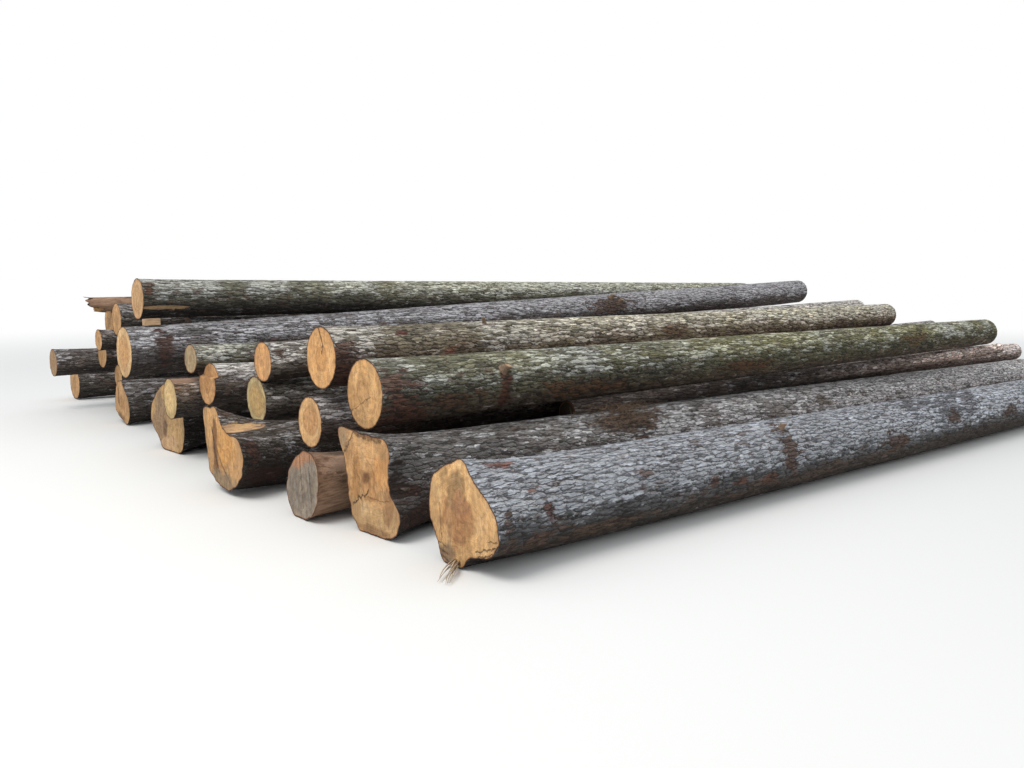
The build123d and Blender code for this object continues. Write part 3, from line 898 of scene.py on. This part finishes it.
# %% [markdown]
# ## Sawn ends
# A fresh cut shows growth rings, a darker heart, the arcs that the chain saw left, and a dark line of
# bark round it. Rings come from the ring distance that each point carries, bent a little by noise: thin
# lines for the late wood and broad bands for good and poor years. Cracks are distances to short straight
# lines, painted nearly black as the shade inside them. The tones of the rings are parts of the face's own
# colour, so a pale and a dark cut share one recipe.


# %% Material of the sawn ends
RING_WIDTH = 0.011
PALE_YEARS, POOR_YEARS = (1.30, 1.50, 1.75), (0.58, 0.50, 0.42)
SMUDGE, HEART_LINE, TORN_SHADE = (0.60, 0.60, 0.66), (0.42, 0.36, 0.32), (0.28, 0.26, 0.28)
DIRT_TONE = (0.16, 0.10, 0.06, 1)
INNER_BARK, OUTER_BARK = (0.30, 0.125, 0.045, 1), (0.050, 0.026, 0.016, 1)
CRACK_SHADE_TONE = (0.035, 0.018, 0.010, 1)


def segment(stub, place, start, end, wide):
    """1 on a line between two points of the sawn face (across, up), 0 beyond its half width."""
    ax, az = start
    bx, bz = end
    length = math.hypot(bx - ax, bz - az)
    dx, dz = (bx - ax) / length, (bz - az) / length
    across, up = place
    run = (across - ax) * dx + (up - az) * dz
    run = run.math("MAXIMUM", 0.0).math("MINIMUM", length)
    far_x = across - ax - run * dx
    far_z = up - az - run * dz
    far = (far_x * far_x + far_z * far_z).math("SQRT")
    return 1.0 - far.rise(wide * 0.35, wide)


def end_material(name, cracks=(), streaks=0.35):
    """Sawn wood. Cracks are (points across and up, half width, darkness); streaks is how torn the fibres
    look."""
    material, shader, stub = start_material(name)
    place = object_place(stub)
    tint = layer(stub, "wood_tint")
    heart = layer(stub, "wood_tint", "Alpha")
    ring, depth, dirt = layer(stub, "wood_form", "Vector").parts()
    ring = ring + (place.clouds(0.14, 4.0, 0.55) - 0.5) * 0.07
    fine = (ring * (2 * math.pi / RING_WIDTH)).math("SINE") * 0.5 + 0.5
    bands = stub.node("ShaderNodeTexNoise", {"noise_dimensions": "1D"}, {"W": ring * 38.0, "Detail": 3.0})
    fibre = place.times((1.0, 1.0, 0.10)).clouds(0.014, 5.0, 0.62)
    broad = place.times((1.0, 1.0, 0.22)).plus((0.0, 4.0, 2.0)).clouds(0.045, 4.0, 0.6)
    saw = place.times((1.0, 0.12, 1.0)).clouds(0.008, 2.0, 0.5)
    mottle = place.clouds(0.035, 5.0, 0.65)
    # The face's own tone with bands of years, a darker edge round the heart, and torn fibres
    tone = 0.96 + (bands - 0.5) * 1.30 + (fibre - 0.5) * (0.30 + streaks) + (mottle - 0.5) * 1.45 - fine * 0.08
    wood = tint.scaled(tone)
    wood = wood.mix(tint.times(PALE_YEARS), broad.rise(0.48, 0.62) * 0.45)
    wood = wood.mix(tint.times(POOR_YEARS), bands.rise(0.50, 0.60) * (1.0 - heart * 0.4) * 0.62)
    wood = wood.mix(tint.times(SMUDGE), (1.0 - mottle.rise(0.36, 0.50)) * 0.65)
    line = 1.0 - (heart - 0.5).math("ABSOLUTE").rise(0.10, 0.45)
    wood = wood.mix(tint.times(HEART_LINE), line * mottle.rise(0.40, 0.60) * 0.60)
    torn = broad.rise(0.55, 0.68) * fibre.rise(0.45, 0.62) * (streaks + 0.10)
    wood = wood.mix(tint.times(TORN_SHADE), torn)
    # Dirt, and the line of inner and outer bark
    wood = wood.mix(DIRT_TONE, dirt * mottle.rise(0.42, 0.60) * 0.55)
    deep = depth + (mottle - 0.5) * 0.022
    wood = wood.mix(INNER_BARK, (1.0 - deep.rise(0.007, 0.020)) * 0.6)
    wood = wood.mix(OUTER_BARK, 1.0 - deep.rise(0.005, 0.009))
    height = bands * 0.3 + fibre * (0.5 + streaks) + saw * 0.5 + mottle * 0.4
    if cracks:
        _, across, up = place.parts()
        shake = (place.clouds(0.03, 3.0, 0.6) - 0.5) * 0.034
        gape = place.clouds(0.025, 3.0, 0.6).rise(0.30, 0.62)
        cut = 0.0
        for stations, wide, darkness in cracks:
            for begin, end in zip(stations[:-1], stations[1:]):
                one = segment(stub, (across + shake, up + shake), begin, end, wide) * darkness
                cut = one.math("MAXIMUM", cut)
        cut = cut * (0.35 + gape * 0.65)
        # the cracks get painted shade, nearly black
        wood = wood.mix(CRACK_SHADE_TONE, cut * 0.92)
        height = height - cut * 3.0
    bump = stub.node("ShaderNodeBump", None, {"Strength": 0.8, "Distance": 0.004, "Height": height})
    into(material, shader, Base_Color=wood, Normal=bump, Roughness=0.72 + mottle * 0.2)
    shader.inputs["Specular IOR Level"].default_value = 0.3
    return material


print("rings", RING_WIDTH, "m apart")

# %% Cracks of the near faces
# Points (across, up) in metres, half width, and how dark the painted shade in the crack is
CRACKS = {
    "front_log": [
        (((-4.50, 0.130), (-4.60, 0.160), (-4.71, 0.200)), 0.007, 0.8),
        (((-4.53, 0.105), (-4.62, 0.135), (-4.69, 0.172)), 0.006, 0.9),
        (((-4.61, 0.212), (-4.67, 0.215), (-4.73, 0.232)), 0.004, 0.7),
        (((-4.14, 0.075), (-4.24, 0.055)), 0.009, 0.7),
        (((-4.16, 0.040), (-4.25, 0.015)), 0.009, 0.7),
        (((-4.15, 0.108), (-4.22, 0.098)), 0.006, 0.6),
        (((-4.15, 0.330), (-4.165, 0.215), (-4.18, 0.125)), 0.007, 0.5),
    ],
    "second_log": [
        (((-3.257, 0.158), (-3.31, 0.194), (-3.32, 0.223), (-3.35, 0.207)), 0.010, 1.0),
        (((-3.35, 0.207), (-3.36, 0.235), (-3.39, 0.225), (-3.43, 0.275)), 0.009, 1.0),
        (((-3.13, 0.45), (-3.217, 0.551), (-3.262, 0.625)), 0.009, 0.8),
        (((-3.19, 0.70), (-3.262, 0.628), (-3.32, 0.605), (-3.56, 0.595)), 0.020, 0.8),
        (((-3.422, 0.234), (-3.583, 0.227), (-3.651, 0.246)), 0.005, 0.5),
        (((-3.25, 0.42), (-3.33, 0.33), (-3.36, 0.24)), 0.006, 0.3),
        (((-3.36, 0.50), (-3.47, 0.42), (-3.53, 0.30)), 0.008, 0.25),
    ],
    "peeled_log": [
        (((-2.80, 0.42), (-2.83, 0.28), (-2.87, 0.08)), 0.008, 0.7),
        (((-2.94, 0.36), (-2.96, 0.24), (-2.99, 0.13)), 0.008, 0.6),
    ],
    "split_butt_log": [
        (((-1.61, 0.46), (-1.645, 0.36), (-1.66, 0.28), (-1.72, 0.16)), 0.016, 1.0),
        (((-1.70, 0.30), (-1.80, 0.20), (-1.93, 0.10)), 0.012, 0.6),
    ],
    "mossy_log": [
        (((-2.97, 0.705), (-3.10, 0.750), (-3.18, 0.80), (-3.25, 0.83)), 0.005, 0.55),
        (((-3.14, 0.97), (-3.17, 0.88)), 0.004, 0.4),
    ],
    "cracked_log": [(((-2.44, 1.24), (-2.490, 1.16), (-2.512, 1.115), (-2.495, 1.05)), 0.009, 0.95)],
}
STREAKS = {"front_log": 0.45, "second_log": 0.6, "peeled_log": 0.7, "split_butt_log": 0.9, "mossy_log": 0.2}
sawn = end_material("sawn_spruce", streaks=0.60)
torn = end_material("torn_spruce", streaks=0.85)
ends = {name: end_material(name + "_end", CRACKS[name], STREAKS.get(name, 0.3)) for name in CRACKS}
ends.update(dict.fromkeys(("twisted_butt_log", "left_big_log", "long_upper_log", "broken_log"), torn))
print("materials", [m.name for m in bpy.data.materials])

# %% [markdown]
# ## All the logs
# The nearer and the more open a log lies, the finer its grid: a point every centimetre round the front
# log, and every few centimetres on one that is buried. The spacing along the stem grows towards the tip.
# A row holds the corners of a ring, the spacing at the butt and at the tip in metres, and the rows in the
# sawn face.

# %% Dress every log
FINENESS = {
    "front_log": (180, 0.013, 0.070, 30),
    "second_log": (156, 0.014, 0.080, 26),
    "mossy_log": (132, 0.014, 0.080, 22),
    "cracked_log": (120, 0.015, 0.080, 20),
    "long_upper_log": (104, 0.020, 0.090, 20),
    "top_log": (100, 0.020, 0.090, 18),
    "peeled_log": (104, 0.018, 0.220, 18),
    "split_butt_log": (124, 0.016, 0.220, 24),
    "twisted_butt_log": (112, 0.018, 0.220, 22),
    "pink_log": (84, 0.022, 0.140, 16),
    "half_hidden_log": (76, 0.026, 0.100, 12),
    "broken_log": (72, 0.016, 0.150, 10),
    "stepped_log": (88, 0.018, 0.200, 24),
}
PLAIN_GRID, BURIED_GRID = (72, 0.024, 0.22, 14), (40, 0.08, 0.35, 8)
counts = {}
for name in sorted(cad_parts):
    if name == "wedge_block":
        continue
    log = make_log(name, *FINENESS.get(name, BURIED_GRID if name.startswith("under_log") else PLAIN_GRID))
    log.data.materials.append(bark)
    log.data.materials.append(ends.get(name, sawn))
    counts[name] = sum(len(p.vertices) - 2 for p in log.data.polygons)
print("logs dressed:", len(counts), "triangles:", sum(counts.values()), "the most:", max(counts.values()))

# %% [markdown]
# ## Split wood
# The wedge block, the broken stubs of branches and the fibres torn at the front log's butt show clean split
# wood: pale, with long streaks of darker late wood. Noise stretched along the grain makes them.


# %% Split wood, and the wedge block
def split_material(name, light, dark, grain_way):
    """Streaks along the grain: noise squeezed across it mixes a light and a dark tone."""
    material, shader, stub = start_material(name)
    place = object_place(stub)
    streak = place.times(grain_way).clouds(0.012, 5.0, 0.6)
    blotch = place.clouds(0.06, 4.0, 0.6)
    pale = stub.node("ShaderNodeCombineXYZ", None, dict(enumerate(light)))
    wood = pale.scaled(0.75 + blotch * 0.5).mix((*dark, 1), streak.rise(0.45, 0.66) * 0.75)
    bump = stub.node("ShaderNodeBump", None, {"Strength": 0.7, "Distance": 0.004, "Height": streak})
    into(material, shader, Base_Color=wood, Roughness=0.75 + blotch * 0.15, Normal=bump)
    return material


clean_wood = split_material("clean_split_wood", (0.50, 0.33, 0.19), (0.26, 0.15, 0.08), (0.10, 1.0, 1.0))
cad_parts["wedge_block"].data.materials.clear()
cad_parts["wedge_block"].data.materials.append(clean_wood)
straw = split_material("torn_fibre", (0.47, 0.37, 0.26), (0.24, 0.17, 0.11), (0.3, 0.3, 0.3))
litter = split_material("dry_litter", (0.19, 0.125, 0.080), (0.07, 0.045, 0.030), (1.0, 1.0, 1.0))
print("wedge block", clean_wood.name)

# %% [markdown]
# ## Fibres, litter and branch stubs
# Three small things catch the eye. Pale fibres hang from the lower tip of the front log's butt, where the
# last wood tore instead of being cut. A heap of dry twigs and needles lies in the gap on top of the
# second log. And short stubs of branches stand out of the bark. Fibres and twigs are thin three-sided
# rods, each kind in one mesh, and each stub is a small turned shape. Twigs and stubs are set on the bark
# by their distance from the butt and their angle.


# %% Thin rods
SPOTS = 72  # places round a log


def on_bark(name, far, angle):
    """Points of a log's skin at distances from its butt and angles in degrees, and its outward directions."""
    points, axis, along = stem_grid(name, SPOTS, 0.03, 0.10)
    row = np.abs(along[:, None] - np.atleast_1d(far)).argmin(axis=0)
    column = np.round(np.atleast_1d(angle) / (360 / SPOTS)).astype(int) % SPOTS
    spot = points[row, column]
    out = spot - axis[row]
    return spot, out / np.linalg.norm(out, axis=-1, keepdims=True)


def rods(name, start, end, bow, radius, material, stations=6):
    """Thin rods with three corners: straight from start to end, bowed by 4 t (1 - t) times an offset, and
    tapering to a fifth of their radius."""
    t = np.linspace(0, 1, stations)
    path = start[:, None] + (end - start)[:, None] * t[:, None] + (4 * t * (1 - t))[:, None] * bow[:, None]
    ahead = (end - start) / np.linalg.norm(end - start, axis=1, keepdims=True)
    side = np.cross(ahead, (0.31, 0.17, 0.93))
    side /= np.linalg.norm(side, axis=1, keepdims=True)
    over = np.cross(side, ahead)
    turn = np.arange(3) * 2 * math.pi / 3
    ring = np.cos(turn)[:, None] * side[:, None] - np.sin(turn)[:, None] * over[:, None]
    thick = radius[:, None] * (1 - 0.8 * t)
    points = path[:, :, None] + thick[..., None, None] * ring[:, None]
    first = np.arange(len(start) * stations).reshape(-1, stations) * 3
    sides = strip_faces(first[:, :-1].ravel(), first[:, 1:].ravel(), 3)
    caps = np.concatenate([first[:, :1] + (0, 2, 1), first[:, -1:] + (0, 1, 2)])
    faces = [sides, caps]
    piece = put_mesh(name, points.reshape(-1, 3), faces, np.zeros(len(sides) + len(caps)), {})
    piece.data.materials.append(material)
    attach(piece, "root")
    return piece


print("places round a log:", SPOTS)

# %% Fibres and litter
FIBRES, TWIGS = 9, 420
rng = np.random.default_rng(7)
tip, ends_at = np.array([-5.772, -4.335, 0.030]), np.array([-5.99, -4.49, 0.012])
start = tip + rng.uniform(-1, 1, (FIBRES, 3)) * (0.003, 0.035, 0.018)
end = ends_at + rng.uniform(-1, 1, (FIBRES, 3)) * (0.035, 0.05, 0.006)
bow = rng.uniform(-1, 1, (FIBRES, 3)) * 0.02
bow[:, 2] = np.abs(bow[:, 2])
pieces = [rods("torn_fibres", start, end, bow, rng.uniform(0.004, 0.008, FIBRES), straw)]

far = rng.normal(2.36, 0.20, TWIGS)
spot, out = on_bark("second_log", far, rng.uniform(84, 140, TWIGS))
lie = rng.normal(0, 1, (TWIGS, 3)) * (1.0, 0.5, 0.25)
lie *= rng.uniform(0.03, 0.11, (TWIGS, 1)) / np.linalg.norm(lie, axis=1, keepdims=True)
start = spot + out * rng.uniform(0.003, 0.035, (TWIGS, 1))
bow = out * rng.uniform(0.0, 0.02, (TWIGS, 1))
pieces.append(rods("twig_litter", start, start + lie, bow, rng.uniform(0.0015, 0.004, TWIGS), litter))
print("rods:", FIBRES, "fibres and", TWIGS, "twigs")

# %% Branch stubs
CORNERS, RINGS = 20, 7
SUNK = 0.02  # metres of a stub that lie inside the bark


def branch_stub(name, log, far, angle, radius, length, lean):
    """Stub of a branch: rings whose radius shrinks from 1.5 to 0.9 of the given one, bent towards the tip
    by lean, with an oblique broken end."""
    spot, out = on_bark(log, far, angle)
    out = out[0] + (lean, 0.0, 0.2)
    out /= np.linalg.norm(out)
    side = np.cross(out, (0.0, 0.0, 1.0))
    side /= np.linalg.norm(side)
    over = np.cross(side, out)
    turn = np.linspace(0, 2 * math.pi, CORNERS, endpoint=False)
    t = np.linspace(0, 1, RINGS)
    wide = radius * (0.9 + 0.6 * (1 - t) ** 3)
    ring = np.cos(turn)[:, None] * side - np.sin(turn)[:, None] * over
    points = spot[0] - SUNK * out + (t * (length + SUNK))[:, None, None] * out + wide[:, None, None] * ring
    points = points + 0.10 * radius * noise(points, 0.6 * radius, 111, 2)[..., None] * ring
    points[-1] += (0.5 * radius * np.sin(turn))[:, None] * out
    points = np.concatenate([points.reshape(-1, 3), points[-1].mean(axis=0, keepdims=True)])
    rows = np.arange(RINGS) * CORNERS
    sides = strip_faces(rows[:-1], rows[1:], CORNERS)
    j = np.arange(CORNERS)
    cap = np.stack([rows[-1] + j, rows[-1] + (j + 1) % CORNERS, np.full(CORNERS, len(points) - 1)], axis=-1)
    piece = put_mesh(name, points, [sides, cap], np.repeat([0, 1], [len(sides), len(cap)]), {})
    piece.data.materials.append(litter)
    piece.data.materials.append(clean_wood)
    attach(piece, "root")
    return piece


# Name, log, distance from the butt, angle, radius and length in metres, and lean
STUBS = [
    ("mossy_branch_stub", "mossy_log", 1.04, 150, 0.030, 0.040, 0.4),
    ("cracked_branch_stub", "cracked_log", 1.40, 112, 0.014, 0.045, -0.5),
    ("upper_branch_stub", "long_upper_log", 6.86, 130, 0.030, 0.050, 0.4),
    ("upper_second_stub", "long_upper_log", 6.98, 150, 0.024, 0.040, 0.2),
    ("front_branch_stub", "front_log", 2.80, 120, 0.022, 0.030, 0.3),
]
pieces.extend(branch_stub(*row) for row in STUBS)
print("small pieces:", [piece.name for piece in pieces])

# %% [markdown]
# ## Floor, light and air
# A plain pale floor takes the shadow, and fades to white far away, where only the camera sees it. The
# light is a broad soft sky: a pale world, and one large lamp high up beyond the stack's butts, where the
# photo's light comes from.

# %% Floor
FAR, LEVEL = 60, -0.002
floor_mesh = bpy.data.meshes.new("floor")
corners = [(-FAR, -FAR, LEVEL), (FAR, -FAR, LEVEL), (FAR, FAR, LEVEL), (-FAR, FAR, LEVEL)]
floor_mesh.from_pydata(corners, [], [(0, 1, 2, 3)])
floor = bpy.data.objects.new("floor", floor_mesh)
bpy.context.scene.collection.objects.link(floor)
pale_floor, floor_shader, stub = start_material("pale_floor")
floor_shader.inputs["Base Color"].default_value = (0.72, 0.72, 0.71, 1)
floor_shader.inputs["Roughness"].default_value = 0.9
distance = stub.node("ShaderNodeVectorMath", {"operation": "LENGTH"}, {0: object_place(stub)}, output=1)
camera_ray = stub.node("ShaderNodeLightPath")
haze = stub.node("ShaderNodeEmission", None, {"Color": (1, 1, 1, 1)})
surface = Value(pale_floor.node_tree, floor_shader.outputs[0])
faded = stub.node("ShaderNodeMixShader", None, {0: distance.rise(8.0, 22.0) * camera_ray, 1: surface, 2: haze})
pale_floor.node_tree.links.new(faded.socket, pale_floor.node_tree.nodes["Material Output"].inputs["Surface"])
floor_mesh.materials.append(pale_floor)
print("floor", 2 * FAR, "m wide")

# %% Sky and lamp
sky = bpy.data.worlds.new("sky")
sky.use_nodes = True
bpy.context.scene.world = sky
air = Value(sky.node_tree, None)
rays = air.node("ShaderNodeLightPath").socket.node.outputs
direct = Value(sky.node_tree, rays["Is Camera Ray"])
mirrored = Value(sky.node_tree, rays["Is Glossy Ray"])
passed = Value(sky.node_tree, rays["Is Transmission Ray"])
seen = direct.math("MAXIMUM", mirrored.math("MAXIMUM", passed))
light = air.node("ShaderNodeBackground", None, {"Color": (0.94, 0.97, 1.0, 1), "Strength": 0.95})
white = air.node("ShaderNodeBackground", None, {"Color": (1, 1, 1, 1), "Strength": 1.0})
both = air.node("ShaderNodeMixShader", None, {0: seen, 1: light, 2: white})
sky.node_tree.links.new(both.socket, sky.node_tree.nodes["World Output"].inputs["Surface"])

LAMP_PLACE = np.array([-13.0, -3.0, 12.5])
LIT_PLACE = np.array([-2.0, -1.0, 0.5])
lamp = bpy.data.lights.new("soft_lamp", "AREA")
lamp.shape = "DISK"
lamp.size = 9.0
lamp.energy = 1350.0
lamp.color = (1.0, 0.97, 0.92)
soft_lamp = bpy.data.objects.new("soft_lamp", lamp)
soft_lamp.location = LAMP_PLACE
aim = LIT_PLACE - LAMP_PLACE
tilt = math.acos(-aim[2] / np.linalg.norm(aim))
soft_lamp.rotation_euler = (tilt, 0.0, math.atan2(aim[1], aim[0]) - math.pi / 2)
bpy.context.scene.collection.objects.link(soft_lamp)
bpy.context.scene.view_settings.view_transform = "Standard"
print("lamp", lamp.energy, "W")
